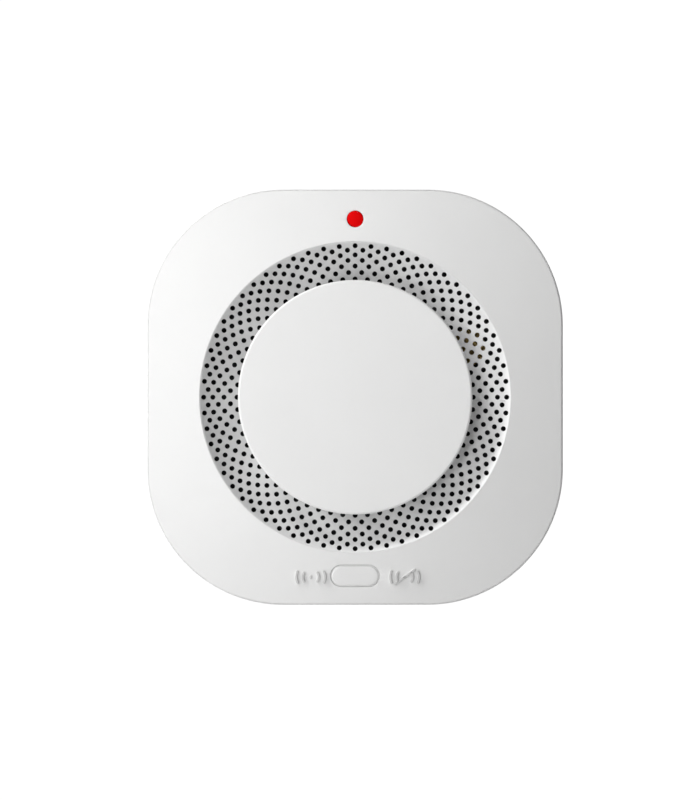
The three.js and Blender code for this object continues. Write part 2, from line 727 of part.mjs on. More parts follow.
// A lead from beside the end wall of the bay up through the board.
function batteryLead([from, to]) {
  const route = new THREE.CatmullRomCurve3([
    new THREE.Vector3(from, LEAD_Y + 2.6, 10),
    new THREE.Vector3(from, LEAD_Y + 1.9, 11.6),
    new THREE.Vector3((from + to) / 2, LEAD_Y + 0.8, 13.6),
    new THREE.Vector3(to, LEAD_Y, 16),
    new THREE.Vector3(to, LEAD_Y, 20.8),
  ]);
  const wire = new THREE.Shape();
  wire.absarc(0, 0, 0.6, 0, 2 * Math.PI);
  const options = { steps: 10, extrudePath: route, curveSegments: 4, bevelEnabled: false };
  return solid(new THREE.ExtrudeGeometry(wire, options));
}

place("battery_lead_black", batteryLead(LEADS.black), material(0x151515, 0.6));
place("battery_lead_red", batteryLead(LEADS.red), material(0xb51a16, 0.6));

// ---- screws ----

// Case screws go in from behind, and board screws from the front.
const caseScrewSection = [
  [0, 11.6],
  [1.9, 11.6],
  [2.9, 12.3],
  [2.9, 13.8],
  [1.4, 13.8],
  [1.4, 26.2],
  [0, 27],
];
const boardScrewSection = [
  [0, 12],
  [0.9, 12.6],
  [0.9, onBoard],
  [2.2, onBoard],
  [2.2, 21.3],
  [1.5, 21.9],
  [0, 21.9],
];
const zinc = material(0xb4b6ba, 0.3, 1);
CASE_SCREWS.forEach(([x, y], i) => {
  place(`case_screw_${i + 1}`, turned(caseScrewSection, 14), zinc, x, y);
});
BOARD_SCREWS.forEach(([x, y], i) => {
  place(`board_screw_${i + 1}`, turned(boardScrewSection, 12), zinc, x, y);
});

export default detector;
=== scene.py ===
"""Looks of a compact battery smoke detector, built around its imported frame.

Pieces are drawn in face coordinates, in millimetres: x to the right, y up, z out from the wall.
make() turns them into the row frame, in metres, where -Y is out from the wall and +Z is up.
"""

import json
import math

import bmesh
import bpy
import numpy as np
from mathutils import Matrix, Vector
from mathutils.geometry import delaunay_2d_cdt

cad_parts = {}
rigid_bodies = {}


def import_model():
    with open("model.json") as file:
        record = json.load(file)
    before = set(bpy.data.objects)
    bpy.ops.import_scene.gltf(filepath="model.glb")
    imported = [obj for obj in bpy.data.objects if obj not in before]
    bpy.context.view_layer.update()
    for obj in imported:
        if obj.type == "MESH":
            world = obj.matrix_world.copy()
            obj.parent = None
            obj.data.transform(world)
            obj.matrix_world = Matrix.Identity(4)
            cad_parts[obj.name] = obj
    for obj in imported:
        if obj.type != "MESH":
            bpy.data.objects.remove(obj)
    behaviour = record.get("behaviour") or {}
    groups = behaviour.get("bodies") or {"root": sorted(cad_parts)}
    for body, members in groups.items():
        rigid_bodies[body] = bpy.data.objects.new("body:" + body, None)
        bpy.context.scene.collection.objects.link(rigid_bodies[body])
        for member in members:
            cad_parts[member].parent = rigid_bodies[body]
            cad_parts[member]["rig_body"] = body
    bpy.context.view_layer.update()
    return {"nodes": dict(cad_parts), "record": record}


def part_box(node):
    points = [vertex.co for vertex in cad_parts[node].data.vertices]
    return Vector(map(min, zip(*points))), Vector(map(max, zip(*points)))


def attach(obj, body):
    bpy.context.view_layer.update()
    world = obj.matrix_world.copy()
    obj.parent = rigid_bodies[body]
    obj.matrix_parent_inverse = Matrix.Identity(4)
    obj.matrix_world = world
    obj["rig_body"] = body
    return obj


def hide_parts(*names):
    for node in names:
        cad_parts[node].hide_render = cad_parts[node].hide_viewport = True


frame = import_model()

MM = 0.001


def face_box(node):
    """A CAD node's lowest and highest corners in face coordinates, in millimetres."""
    low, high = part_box(node)
    return (Vector((low.x, low.z, -high.y)) / MM, Vector((high.x, high.z, -low.y)) / MM)


# ---- sizes: taken from the frame where it holds them, and otherwise the part's own section ----

COVER_LOW, COVER_HIGH = face_box("front_cover")
CAP_LOW, CAP_HIGH = face_box("centre_cap")
RING_HIGH = face_box("grille_ring")[1]
BRACKET_HIGH = face_box("mounting_bracket")[1]
DOOR_HIGH = face_box("battery_door")[1]
BUTTON_LOW, BUTTON_HIGH = face_box("test_button")
LENS_LOW, LENS_HIGH = face_box("indicator_lens")
BOARD_LOW = face_box("main_board")[0]

BODY_HALF = COVER_HIGH.x
BODY_CORNER = 32.6
WALL = 2.0
GAP = 0.3  # clearance between pieces
SEAM_FRONT = COVER_LOW.z
SEAM_BACK = SEAM_FRONT - GAP
BACK_Z = 3.9  # outer face of the case's back
BACK_FILLET = 1.2
BREAK = 0.22  # small rounding along the moulded edges
EDGE_FILLET = 0.5
EDGE_STEPS = 9
EDGE_GROOVE = (0.18, 0.33)  # fine groove round the front edge, from inset to inset
GROOVE_DEPTH = 0.14

RIM_Z = 33.4  # the face's height at the edge of the opening
OPENING_R = 37.5
FACE_SLOPE = 0.17  # fall of the face per millimetre at the opening
FACE_CURVE = 0.0016  # and what the square of the distance from it adds

BOWL_R, BOWL_CENTRE_R, BOWL_CENTRE_Z = 17.0, 22.8, 42.3  # circle that the ring's section follows
RING_WALL = 1.6
RING_INNER_R = 26.1
RING_OUTER_R = OPENING_R - 0.03
RING_EDGE = 0.35  # plain strip outside the last row of holes
RING_FLANGE_R = RING_HIGH.x

HOLES_ROUND = 60
HOLE_R = 0.6
HOLE_ROWS = [36.47, 35.43, 34.27, 32.99, 31.60, 30.08, 28.47]  # from the rim inwards, each half a pitch on
HOLE_SIDES = 20
HOLE_BREAK, HOLE_BREAK_DEPTH = 0.03, 0.06  # bevel round each hole

CAP_R = CAP_HIGH.x
CAP_TOP = CAP_HIGH.z
CAP_CROWN = 0.7
CAP_WALL = 2.0
CAP_SOFT = 0.55
SKIRT_R, SKIRT_WALL, SKIRT_WINDOWS = 25.8, 1.4, 10
FOOT_WALL = 1.0

BUTTON_Y = (BUTTON_LOW.y + BUTTON_HIGH.y) / 2
BUTTON_W, BUTTON_H, BUTTON_GAP = 11.1, 4.5, 0.4
BUTTON_STEP = 0.34
BUTTON_FLANGE = (14.1, 6.4)
BUTTON_FLANGE_R = 46.6  # how far from the middle the cover is lowest over the flange
LENS_Y = (LENS_LOW.y + LENS_HIGH.y) / 2
LENS_R, LENS_GAP = 1.94, 0.09
LENS_DOME = 0.3
FLANGE_WALL = 1.2

STUD_R, STUD_ANGLES, TWIST = 34.0, (0, 120, 240), 15
CASE_SCREW = 34.0
TURN = 240  # steps round the large turned pieces


def face_z(r):
    """Height of the domed face at a distance from the middle."""
    out = r - OPENING_R
    return RIM_Z - FACE_SLOPE * out - FACE_CURVE * out * out


def bowl_z(r, behind=0.0):
    """Height of the intake ring's concave section, on its front face or a wall behind it."""
    radius = BOWL_R + behind
    return BOWL_CENTRE_Z - math.sqrt(radius * radius - (r - BOWL_CENTRE_R) ** 2)


# ---- outlines ----


def circle(x, y, radius, count=48):
    turns = [2 * math.pi * i / count for i in range(count)]
    return [(x + radius * math.cos(a), y + radius * math.sin(a)) for a in turns]


def on_circle(radius, degrees):
    a = math.radians(degrees)
    return radius * math.cos(a), radius * math.sin(a)


def arc(x, y, radius, start, end, count):
    """count + 1 points along an arc, in degrees."""
    steps = [math.radians(start + (end - start) * i / count) for i in range(count + 1)]
    return [(x + radius * math.cos(a), y + radius * math.sin(a)) for a in steps]


def stadium(x, y, width, height, per_end=20):
    r = min(width, height) / 2
    across, up = width / 2 - r, height / 2 - r
    if across > up:
        return arc(x + across, y, r, -90, 90, per_end) + arc(x - across, y, r, 90, 270, per_end)
    return arc(x, y + up, r, 0, 180, per_end) + arc(x, y - up, r, 180, 360, per_end)


def rectangle(x0, x1, y0, y1):
    return [(x0, y0), (x1, y0), (x1, y1), (x0, y1)]


def body_outline(inset=0.0, per_corner=44, per_side=12):
    """The rounded square of the body, moved in by inset, from the middle of a corner's start."""
    radius = BODY_CORNER - inset
    centre = BODY_HALF - BODY_CORNER
    points = []
    for k in range(4):
        c, s = ((1, 0), (0, 1), (-1, 0), (0, -1))[k]
        cx, cy = centre * (c - s), centre * (c + s)
        points += arc(cx, cy, radius, 90 * k, 90 * k + 90, per_corner)
        ex, ey = points[-1]
        for i in range(1, per_side):
            step = 2 * centre * i / per_side
            points.append((ex - step * c, ey - step * s))
    return points


def key_slot(radius, half_width, start, end, steps=16):
    """A slot with round ends that follows a circle about the middle."""
    bx, by = on_circle(radius, end)
    ax, ay = on_circle(radius, start)
    outer = arc(0, 0, radius + half_width, start, end, steps)
    inner = arc(0, 0, radius - half_width, end, start, steps)
    end_b = arc(bx, by, half_width, end, end + 180, steps)[1:-1]
    end_a = arc(ax, ay, half_width, start + 180, start + 360, steps)[1:-1]
    return outer + end_b + inner + end_a


# ---- meshes ----


def inside(points, loops):
    """Which points lie inside an odd number of the loops."""
    p = np.asarray(points, float)
    odd = np.zeros(len(p), bool)
    for loop in loops:
        a = np.asarray(loop, float)
        b = np.roll(a, -1, axis=0)
        over = (a[None, :, 1] > p[:, None, 1]) != (b[None, :, 1] > p[:, None, 1])
        rise = np.where(b[:, 1] == a[:, 1], 1e-12, b[:, 1] - a[:, 1])
        at = a[:, 0] + (p[:, None, 1] - a[:, 1]) * (b[:, 0] - a[:, 0]) / rise
        odd ^= ((over & (p[:, None, 0] < at)).sum(axis=1) % 2).astype(bool)
    return odd


class Form:
    """Points and faces of one piece."""

    def __init__(self):
        self.points = []
        self.faces = []

    def loop(self, outline, z):
        """Adds an outline at a height, which may be a function of the point, and returns its indices."""
        start = len(self.points)
        for x, y in outline:
            self.points.append((x, y, z(x, y) if callable(z) else z))
        return range(start, len(self.points))

    def band(self, a, b, closed=True):
        n = len(a)
        for i in range(n if closed else n - 1):
            j = (i + 1) % n
            self.faces.append((a[i], a[j], b[j], b[i]))

    def stack(self, levels):
        """Joins outlines, each with its height, one after another, and returns each one's indices."""
        loops = [self.loop(outline, z) for outline, z in levels]
        for a, b in zip(loops, loops[1:]):
            self.band(a, b)
        return loops

    def lid(self, loop):
        self.faces.append(tuple(loop))

    def copy_turned(self, other, radians):
        """Adds another form's points and faces, turned about the middle."""
        start, c, s = len(self.points), math.cos(radians), math.sin(radians)
        self.points += [(x * c - y * s, x * s + y * c, z) for x, y, z in other.points]
        self.faces += [tuple(start + i for i in face) for face in other.faces]

    def fill(self, outlines, z, extra=()):
        """Covers the area between outlines with triangles lifted to z."""
        coords, edges = [], []
        for outline in outlines:
            start, n = len(coords), len(outline)
            coords += [Vector(p) for p in outline]
            edges += [(start + i, start + (i + 1) % n) for i in range(n)]
        coords += [Vector(p) for p in extra]
        flat, _, triangles, _, _, _ = delaunay_2d_cdt(coords, edges, [], 0, 1e-7)
        at = np.array([tuple(v) for v in flat])
        middles = at[np.array(triangles)].mean(axis=1)
        start = len(self.points)
        self.points += [(x, y, z(x, y) if callable(z) else z) for x, y in at.tolist()]
        for triangle, keep in zip(triangles, inside(middles, outlines)):
            if keep:
                self.faces.append(tuple(start + i for i in triangle))

    def turned(self, section, steps=TURN, x=0.0, y=0.0):
        """A section of (radius, z) points turned about an axis along z, closed where it ends on the axis."""
        rings = [self.loop(circle(x, y, max(r, 1e-5), steps), z) for r, z in section]
        for a, b in zip(rings, rings[1:]):
            self.band(a, b)
        return rings

    def block(self, x0, x1, y0, y1, z0, z1):
        return self.prism(rectangle(x0, x1, y0, y1), z0, z1)

    def rod(self, section, x=0.0, y=0.0, steps=48):
        """A solid turned from a section that starts and ends on its axis."""
        self.turned(section, steps, x, y)
        return self

    def prism(self, outline, z0, z1):
        low, high = self.stack([(outline, z0), (outline, z1)])
        self.lid(low)
        self.lid(high)
        return self


def weld(mesh, distance=2e-6):
    """Merges doubled points, drops faces of no area and turns every face outwards."""
    bm = bmesh.new()
    bm.from_mesh(mesh)
    bmesh.ops.remove_doubles(bm, verts=bm.verts, dist=distance)
    bmesh.ops.dissolve_degenerate(bm, edges=bm.edges, dist=1e-7)
    loose = [v for v in bm.verts if not v.link_faces]
    bmesh.ops.delete(bm, geom=loose, context="VERTS")
    bmesh.ops.recalc_face_normals(bm, faces=bm.faces)
    bm.to_mesh(mesh)
    bm.free()


def smooth(mesh, degrees=32):
    mesh.polygons.foreach_set("use_smooth", [True] * len(mesh.polygons))
    mesh.set_sharp_from_angle(angle=math.radians(degrees))
    mesh.update()


def make(name, form):
    """A form as a Blender object in the row frame."""
    mesh = bpy.data.meshes.new(name)
    mesh.from_pydata([(x * MM, -z * MM, y * MM) for x, y, z in form.points], [], form.faces)
    weld(mesh)
    thing = bpy.data.objects.new(name, mesh)
    bpy.context.scene.collection.objects.link(thing)
    return thing


def bake(thing):
    """Applies a piece's modifiers."""
    graph = bpy.context.evaluated_depsgraph_get()
    mesh = bpy.data.meshes.new_from_object(thing.evaluated_get(graph), depsgraph=graph)
    mesh.name = thing.name
    thing.modifiers.clear()
    thing.data = mesh
    return thing


def combine(thing, operation, form):
    """Joins a form's solids to a piece, cuts them out of it, or keeps only what it shares with them."""
    tool = make("tool", form)
    modifier = thing.modifiers.new("combine", "BOOLEAN")
    modifier.operation = operation
    modifier.solver = "EXACT"
    modifier.use_self = True
    modifier.object = tool
    bake(thing)
    bpy.data.objects.remove(tool)
    return thing


def round_edges(thing, width, segments=2, degrees=40):
    """Rounds a piece's hard edges by a width in millimetres."""
    bm = bmesh.new()
    bm.from_mesh(thing.data)
    bmesh.ops.remove_doubles(bm, verts=bm.verts, dist=3e-6)
    bmesh.ops.dissolve_limit(
        bm, angle_limit=math.radians(0.6), verts=bm.verts, edges=bm.edges, use_dissolve_boundaries=False
    )
    bm.to_mesh(thing.data)
    bm.free()
    modifier = thing.modifiers.new("edges", "BEVEL")
    modifier.width = width * MM
    modifier.segments = segments
    modifier.limit_method = "ANGLE"
    modifier.angle_limit = math.radians(degrees)
    modifier.use_clamp_overlap = True
    modifier.miter_outer = "MITER_ARC"
    return bake(thing)


def place(thing, nodes, body, finish, degrees=32):
    """Gives a piece its finish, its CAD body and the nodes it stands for."""
    smooth(thing.data, degrees)
    normals = thing.modifiers.new("normals", "WEIGHTED_NORMAL")
    normals.keep_sharp = True
    bake(thing)
    thing.data.materials.clear()
    thing.data.materials.append(finish)
    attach(thing, body)
    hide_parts(*nodes)
    return thing


# ---- materials ----


class Finish:
    """A material with one Principled shader and what feeds it."""

    def __init__(self, name, colour, roughness, metallic=0.0):
        self.material = bpy.data.materials.new(name)
        self.material.use_nodes = True
        self.tree = self.material.node_tree
        self.shader = self.tree.nodes["Principled BSDF"]
        self.colour = colour
        self.shader.inputs["Base Color"].default_value = (*colour, 1)
        self.shader.inputs["Roughness"].default_value = roughness
        self.shader.inputs["Metallic"].default_value = metallic
        self.bump = None
        self.place = self.tree.nodes.new("ShaderNodeTexCoord").outputs["Object"]

    def node(self, kind, **inputs):
        node = self.tree.nodes.new(kind)
        for name, value in inputs.items():
            node.inputs[name.replace("_", " ")].default_value = value
        return node

    def link(self, output, target):
        self.tree.links.new(output, target)

    def set(self, **sockets):
        for name, value in sockets.items():
            self.shader.inputs[name.replace("_", " ")].default_value = value
        return self

    def noise(self, size, detail=3.0, stretch=None):
        """Noise whose features are about size millimetres across."""
        texture = self.node("ShaderNodeTexNoise", Scale=1 / (size * MM), Detail=detail, Roughness=0.55)
        source = self.place
        if stretch:
            mapping = self.node("ShaderNodeMapping", Scale=stretch)
            self.link(self.place, mapping.inputs["Vector"])
            source = mapping.outputs["Vector"]
        self.link(source, texture.inputs["Vector"])
        return texture.outputs["Fac"]

    def spread(self, value, low, high, start=0.3, end=0.7):
        """A value spread from low to high."""
        node = self.node("ShaderNodeMapRange", From_Min=start, From_Max=end, To_Min=low, To_Max=high)
        self.link(value, node.inputs["Value"])
        return node.outputs["Result"]

    def rough(self, size, low, high, stretch=None):
        self.link(self.spread(self.noise(size, stretch=stretch), low, high), self.shader.inputs["Roughness"])
        return self

    def tint(self, factor, other):
        """Mixes the colour so far with another one."""
        mix = self.tree.nodes.new("ShaderNodeMix")
        mix.data_type = "RGBA"
        first = self.shader.inputs["Base Color"]
        if first.links:
            self.link(first.links[0].from_socket, mix.inputs[6])
        else:
            mix.inputs[6].default_value = (*self.colour, 1)
        mix.inputs[7].default_value = (*other, 1)
        self.link(factor, mix.inputs[0])
        self.link(mix.outputs[2], first)
        return self

    def raise_by(self, height, depth, strength=1.0):
        """Adds a bump of a height in millimetres, over the bumps so far."""
        bump = self.node("ShaderNodeBump", Strength=strength, Distance=depth * MM)
        self.link(height, bump.inputs["Height"])
        if self.bump:
            self.link(self.bump.outputs["Normal"], bump.inputs["Normal"])
        self.link(bump.outputs["Normal"], self.shader.inputs["Normal"])
        self.bump = bump
        return self


def moulded(name, colour, roughness, grain=0.22, depth=0.006, shade=0.985, spread=0.05):
    """Moulded plastic with a fine spark-eroded grain, faint flow marks and uneven gloss."""
    finish = Finish(name, colour, roughness)
    finish.tint(finish.spread(finish.noise(16, 4.0), 0, 1), tuple(c * shade for c in colour))
    specks = finish.spread(finish.noise(0.9, 2.0), 0, 0.35, 0.55, 0.8)
    finish.tint(specks, tuple(c * shade * 0.985 for c in colour))
    finish.rough(1.6, roughness - spread, roughness + spread)
    finish.raise_by(finish.noise(grain, 4.0), depth)
    finish.raise_by(finish.noise(7, 2.0), 0.012, 0.5)
    return finish


def metal(name, colour, roughness, brushed=(1, 1, 1)):
    finish = Finish(name, colour, roughness, 1.0)
    finish.tint(finish.spread(finish.noise(2.5), 0, 0.5), tuple(c * 0.82 for c in colour))
    finish.rough(0.5, roughness * 0.75, roughness * 1.35, brushed)
    finish.raise_by(finish.noise(0.15, 3.0, brushed), 0.004)
    return finish


def red_lens():
    finish = Finish("red_lens", (0.8, 0.0015, 0.0025), 0.55)
    finish.set(Specular_IOR_Level=0.03)
    finish.tint(finish.spread(finish.noise(0.8), 0, 0.5), (0.72, 0.001, 0.002))
    finish.rough(0.8, 0.5, 0.6)
    finish.raise_by(finish.noise(1.2, 2.0), 0.006)
    return finish


def circuit_board():
    finish = Finish("solder_mask", (0.02, 0.12, 0.055), 0.35)
    bricks = finish.node("ShaderNodeTexBrick", Scale=260.0, Mortar_Size=0.035, Bias=0.0)
    finish.link(finish.place, bricks.inputs["Vector"])
    finish.tint(bricks.outputs["Fac"], (0.045, 0.2, 0.09))
    finish.tint(finish.spread(finish.noise(6), 0, 0.4), (0.01, 0.08, 0.04))
    finish.rough(2.0, 0.28, 0.42)
    finish.raise_by(bricks.outputs["Fac"], 0.02)
    return finish


def cell_jacket():
    """A plain two-tone foil jacket with bare steel ends."""
    finish = Finish("cell_jacket", (0.035, 0.04, 0.045), 0.28)
    axis = finish.tree.nodes.new("ShaderNodeSeparateXYZ")
    finish.link(finish.place, axis.inputs["Vector"])
    band = finish.node("ShaderNodeMath")
    band.operation = "GREATER_THAN"
    band.inputs[1].default_value = 0.011
    finish.link(axis.outputs["Z"], band.inputs[0])
    finish.tint(band.outputs["Value"], (0.62, 0.36, 0.12))
    finish.tint(finish.spread(finish.noise(4), 0, 0.3), (0.08, 0.08, 0.085))
    finish.set(Metallic=0.55, Coat_Weight=0.4, Coat_Roughness=0.15)
    finish.rough(1.5, 0.22, 0.36)
    finish.raise_by(finish.noise(0.8), 0.006)
    return finish


WHITE = (0.86, 0.86, 0.855)
FINISHES = {
    "white_shell": moulded("white_shell", WHITE, 0.42),
    "white_grille": moulded("white_grille", (0.84, 0.84, 0.838), 0.5, grain=0.3, depth=0.012),
    "white_cap": moulded("white_cap", WHITE, 0.42),
    "white_button": moulded("white_button", WHITE, 0.36),
    "white_bracket": moulded("white_bracket", (0.8, 0.8, 0.79), 0.55, grain=0.35, depth=0.012),
    "red_lens": red_lens(),
    "red_led": moulded("red_led", (0.45, 0.01, 0.01), 0.2, depth=0.002),
    "dark_plastic": moulded("dark_plastic", (0.02, 0.02, 0.022), 0.6, shade=0.8),
    "optic_resin": moulded("optic_resin", (0.03, 0.018, 0.05), 0.16, depth=0.002, shade=0.8),
    "steel_mesh": metal("steel_mesh", (0.42, 0.44, 0.46), 0.4),
    "board_green": circuit_board(),
    "siren_black": moulded("siren_black", (0.02, 0.02, 0.022), 0.45, shade=0.8),
    "piezo_brass": metal("piezo_brass", (0.65, 0.45, 0.18), 0.3, (1, 1, 8)),
    "chip_black": moulded("chip_black", (0.025, 0.025, 0.028), 0.5, grain=0.12, shade=0.8),
    "coil_black": moulded("coil_black", (0.03, 0.03, 0.032), 0.5, shade=0.8),
    "capacitor_can": moulded("capacitor_can", (0.03, 0.05, 0.09), 0.3, shade=0.85),
    "cell_jacket": cell_jacket(),
    "contact_steel": metal("contact_steel", (0.72, 0.72, 0.7), 0.25, (6, 1, 1)),
    "lead_black": moulded("lead_black", (0.015, 0.015, 0.015), 0.5, shade=0.8),
    "lead_red": moulded("lead_red", (0.5, 0.02, 0.015), 0.5, shade=0.85),
    "screw_zinc": metal("screw_zinc", (0.62, 0.63, 0.64), 0.32),
}
# The raised marks are moulded in the same white as the face; their darker grey is painted shade that stands
# in for the shadows along the raised strokes.
MARK_SHADE_FINISH = moulded("marks_painted_shade", (0.64, 0.64, 0.635), 0.45)


def finish_of(slot):
    return FINISHES[slot].material


# ---- front cover ----


def fillet(radius, steps):
    """(inset, drop) pairs round a quarter circle, from the side to the top."""
    turns = [math.radians(90 * i / steps) for i in range(steps + 1)]
    return [(radius * (1 - math.cos(a)), radius * (1 - math.sin(a))) for a in turns]


def fillet_drop(inset):
    """How far below the face the front edge's rounding is, at an inset from the side."""
    return EDGE_FILLET - math.sqrt(EDGE_FILLET**2 - (EDGE_FILLET - inset) ** 2)


def on_face(drop=0.0):
    """Heights that follow the domed face, or lie a drop below it."""
    return lambda x, y: face_z(math.hypot(x, y)) - drop


def front_edge():
    """(inset, drop) pairs over the front edge's rounding and down and up its fine groove."""
    outer, inner = EDGE_GROOVE
    bottom = fillet_drop(outer) + GROOVE_DEPTH
    groove = [(outer, fillet_drop(outer)), (outer, bottom), (inner, bottom), (inner, fillet_drop(inner))]
    steps = fillet(EDGE_FILLET, EDGE_STEPS)
    return [*(p for p in steps if p[0] < outer), *groove, *(p for p in steps if p[0] > inner)]


def front_cover():
    form = Form()
    levels = [(body_outline(WALL), on_face(WALL)), (body_outline(WALL), SEAM_FRONT)]
    levels += [(body_outline(BREAK), SEAM_FRONT), (body_outline(), SEAM_FRONT + BREAK)]
    levels += [(body_outline(), SEAM_FRONT + 3.5)]
    levels += [(body_outline(inset), on_face(drop)) for inset, drop in front_edge()]
    form.stack(levels)

    hole_w, hole_h = BUTTON_W + 2 * BUTTON_GAP, BUTTON_H + 2 * BUTTON_GAP
    holes = [
        (0.05, lambda out: circle(0, 0, OPENING_R + out, TURN)),
        (0.1, lambda out: circle(0, LENS_Y, LENS_R + LENS_GAP + out, 48)),
        (0.15, lambda out: stadium(0, BUTTON_Y, hole_w + 2 * out, hole_h + 2 * out)),
    ]
    top, under = [], []
    for rounding, hole in holes:
        levels = [(hole(inset), on_face(drop)) for inset, drop in reversed(fillet(rounding, 3))]
        form.stack([*levels, (hole(0), on_face(WALL))])
        top.append(hole(rounding))
        under.append(hole(0))

    outer = body_outline(EDGE_FILLET)
    between = []  # points of the face on rings between its opening and its edge
    ring_count = 9
    for i in range(1, ring_count):
        t = i / ring_count
        for x, y in outer:
            r = math.hypot(x, y)
            k = (1 - t) * OPENING_R / r + t
            between.append((x * k, y * k))
    clear = [circle(0, LENS_Y, LENS_R + 1, 24), stadium(0, BUTTON_Y, hole_w + 1.6, hole_h + 1.6)]
    between = [p for p, near in zip(between, inside(between, clear)) if not near]
    form.fill([outer, *top], on_face(), between)
    form.fill([body_outline(WALL), *under], on_face(WALL))
    place(make("cover_shell", form), ["front_cover"], "detector", finish_of("white_shell"))


# ---- intake ring with its holes ----


def intake_ring():
    pitch = 360 / HOLES_ROUND
    start = -pitch / 4
    steps = TURN // HOLES_ROUND
    low_r, high_r = RING_INNER_R, RING_OUTER_R - RING_EDGE
    sides = [low_r, 27.3, 28.47, 29.3, 30.08, 30.9, 31.6, 32.3]
    sides += [33, 33.6, 34.27, 34.9, 35.43, 36, 36.47, high_r]
    first = [on_circle(r, start) for r in sides]
    last = [on_circle(r, start + pitch) for r in sides]
    outer = arc(0, 0, high_r, start, start + pitch, steps)
    inner = arc(0, 0, low_r, start + pitch, start, steps)
    border = first[:-1] + outer + last[-2:0:-1] + inner[:-1]
    centres = [on_circle(r, pitch / 2 * (i % 2)) for i, r in enumerate(HOLE_ROWS)]

    def front(x, y):
        return bowl_z(math.hypot(x, y))

    def bevelled(x, y):
        return front(x, y) - HOLE_BREAK_DEPTH

    def back(x, y):
        return bowl_z(math.hypot(x, y), RING_WALL)

    sector = Form()
    wide = [circle(x, y, HOLE_R + HOLE_BREAK, HOLE_SIDES) for x, y in centres]
    holes = [circle(x, y, HOLE_R, HOLE_SIDES) for x, y in centres]
    mesh = [on_circle(low_r + 0.36 * i, start + pitch * j / 8) for i in range(1, 30) for j in range(1, 8)]
    around = [circle(x, y, HOLE_R + 0.16, HOLE_SIDES) for x, y in centres]
    near = np.any([inside(mesh, [edge]) for edge in around], axis=0)
    sector.fill([border, *wide], front, [p for p, skip in zip(mesh, near) if not skip])
    sector.fill([border, *holes], back)
    for edge, hole in zip(wide, holes):
        sector.stack([(edge, front), (hole, bevelled), (hole, back)])

    form = Form()
    for k in range(HOLES_ROUND):
        form.copy_turned(sector, math.radians(pitch * k))

    flange_top = face_z(RING_FLANGE_R) - WALL - GAP
    rim = [
        (high_r, bowl_z(high_r)),
        (RING_OUTER_R - 0.2, RIM_Z - 0.1),
        (RING_OUTER_R - 0.1, RIM_Z - 0.03),
        (RING_OUTER_R, RIM_Z - 0.01),
        (RING_OUTER_R, flange_top),
        (RING_FLANGE_R, flange_top),
        (RING_FLANGE_R, flange_top - RING_WALL),
        (high_r, bowl_z(high_r, RING_WALL)),
    ]
    edges = Form()
    edges.turned(rim)
    edges.turned([(low_r, bowl_z(low_r, RING_WALL)), (low_r, bowl_z(low_r))])
    form.copy_turned(edges, math.radians(start))
    place(make("intake_ring", form), ["grille_ring"], "detector", finish_of("white_grille"))


# ---- centre cap ----


def crown_z(r):
    """Height of the cap's crowned top at a distance from the middle."""
    return CAP_TOP - CAP_CROWN * (r / CAP_R) ** 2


def centre_cap():
    under = CAP_TOP - CAP_CROWN - CAP_WALL
    foot = CAP_LOW.z + FOOT_WALL
    foot_low = foot - FOOT_WALL
    inner = SKIRT_R - SKIRT_WALL
    disc = [(SKIRT_R, under), (CAP_R - 0.35, under), (CAP_R - 0.1, under + 0.1), (CAP_R, under + 0.35)]
    disc += [(CAP_R - inset, crown_z(CAP_R - inset) - drop) for inset, drop in fillet(CAP_SOFT, 6)]
    disc += [(r, crown_z(r)) for r in (25, 21, 16, 11, 6, 2, 0)]
    form = Form()
    form.turned([(0, under), (inner, under)])
    form.turned(disc)
    form.turned(
        [
            (SKIRT_R, foot),
            (RING_INNER_R + 0.6, foot),
            (RING_INNER_R + 0.7, foot - 0.1),
            (RING_INNER_R + 0.7, foot_low),
            (inner, foot_low),
        ]
    )
    skirt_with_windows(form, inner, foot_low, [foot, foot + 3.6, under - 1.2, under])
    place(make("cap_disc", form), ["centre_cap"], "detector", finish_of("white_cap"))


def skirt_with_windows(form, inner, foot_low, heights):
    """The skirt's two faces between four heights, with windows through it in the middle row."""
    per_window = TURN // SKIRT_WINDOWS
    open_steps = range(3, per_window - 3)
    rings = {}
    for r in (inner, SKIRT_R):
        levels = [foot_low, *heights] if r == inner else heights
        rings[r] = [form.loop(circle(0, 0, r, TURN), z) for z in levels]
    form.band(rings[inner][0], rings[inner][1])
    rings[inner] = rings[inner][1:]
    for row in range(3):
        for i in range(TURN):
            j = (i + 1) % TURN
            is_open = row == 1 and i % per_window in open_steps
            if not is_open:
                for r in (inner, SKIRT_R):
                    a, b = rings[r][row], rings[r][row + 1]
                    form.faces.append((a[i], a[j], b[j], b[i]))
            before = row == 1 and not is_open and (i + 1) % per_window == open_steps[0]
            after = row == 1 and not is_open and (i - 1) % per_window == open_steps[-1]
            for at, wanted in ((j, before), (i, after)):
                if wanted:
                    a, b = rings[inner], rings[SKIRT_R]
                    form.faces.append((a[1][at], b[1][at], b[2][at], a[2][at]))
        if row == 1:
            for i in range(TURN):
                if i % per_window in open_steps:
                    j = (i + 1) % TURN
                    for level in (1, 2):
                        a, b = rings[inner][level], rings[SKIRT_R][level]
                        form.faces.append((a[i], a[j], b[j], b[i]))


# ---- test button, indicator and raised marks ----


def key_outline(inset):
    return stadium(0, BUTTON_Y, BUTTON_W - 2 * inset, BUTTON_H - 2 * inset, 24)


